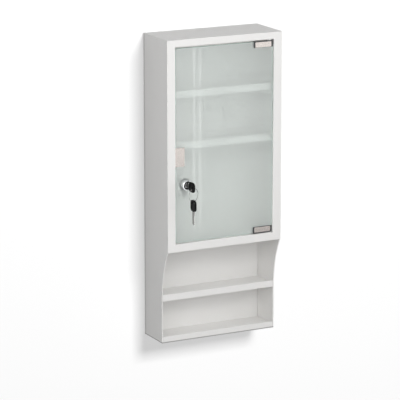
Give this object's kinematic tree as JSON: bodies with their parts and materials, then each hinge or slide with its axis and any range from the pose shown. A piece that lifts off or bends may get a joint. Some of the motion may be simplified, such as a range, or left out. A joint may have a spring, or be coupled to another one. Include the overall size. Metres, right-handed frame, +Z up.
{
  "type": "glass door medical cabinet",
  "caption": "Narrow wall-hung medical cabinet of white painted sheet steel with a satin glass door, a cam lock with keys, inner shelves and open trays below between swept sides.",
  "frame": {"origin": "middle of the hanging rail's rear face, on the wall plane", "axes": "+Y into the wall, so the front faces -Y; +Z up; +X to the right seen from the front"},
  "size_m": [0.28, 0.162, 0.68],
  "materials": {
    "painted_steel": "white powder coat, satin",
    "satin_glass": "acid etched, faint aqua tint",
    "satin_metal": "satin nickel",
    "chrome": "polished",
    "bright_steel": "nickel plated",
    "white_nylon": "moulded",
    "dark_liner": "matte",
    "black_plastic": "moulded, fine grain",
    "magnet": "ground"
  },
  "bodies": {
    "cabinet": {"front_frame": "painted_steel", "left_side": "painted_steel", "right_side": "painted_steel", "top_panel": "painted_steel", "divider_panel": "painted_steel", "open_shelf": "painted_steel", "bottom_panel": "painted_steel", "back_panel": "painted_steel", "hanging_rail": "painted_steel", "wall_spacer": "painted_steel", "upper_shelf": "painted_steel", "upper_left_ledge": "painted_steel", "upper_right_ledge": "painted_steel", "lower_shelf": "painted_steel", "lower_left_ledge": "painted_steel", "lower_right_ledge": "painted_steel", "upper_hinge_bush": "white_nylon", "lower_hinge_bush": "white_nylon", "catch_housing": "white_nylon", "catch_magnet": "magnet"},
    "door": {"door_glass": "satin_glass", "upper_hinge_clip": "satin_metal", "lower_hinge_clip": "satin_metal", "upper_clip_liner": "dark_liner", "lower_clip_liner": "dark_liner", "upper_clip_screw": "bright_steel", "lower_clip_screw": "bright_steel", "strike_plate": "satin_metal", "lock_barrel": "chrome", "lock_washer": "dark_liner", "lock_nut": "bright_steel"},
    "plug": {"lock_plug": "chrome", "lock_cam": "bright_steel", "cam_screw": "bright_steel"},
    "key": {"key_blade": "bright_steel", "key_head": "black_plastic"},
    "ring": {"key_ring": "bright_steel"},
    "spare_key": {"spare_key_blade": "bright_steel", "spare_key_head": "black_plastic"}
  },
  "joints": [
    {"name": "door_swing", "type": "hinge", "parent": "cabinet", "child": "door", "pos_m": [0.1108, -0.1115, -0.175], "axis": [0, 0, 1], "range_deg": [0, 110]},
    {"name": "key_turn", "type": "hinge", "parent": "door", "child": "plug", "pos_m": [-0.094, -0.124, -0.26], "axis": [0, 1, 0], "range_deg": [0, 90]},
    {"name": "key_pull", "type": "slide", "parent": "plug", "child": "key", "axis": [0, -1, 0], "range_m": [0, 0.03]},
    {"name": "ring_swing", "type": "hinge", "parent": "key", "child": "ring", "pos_m": [-0.094, -0.151, -0.2612], "axis": [-1, 0, 0], "range_deg": [-10, 75]},
    {"name": "spare_key_swing", "type": "hinge", "parent": "ring", "child": "spare_key", "pos_m": [-0.094, -0.151, -0.2906], "axis": [-1, 0, 0], "range_deg": [-15, 15]}
  ]
}
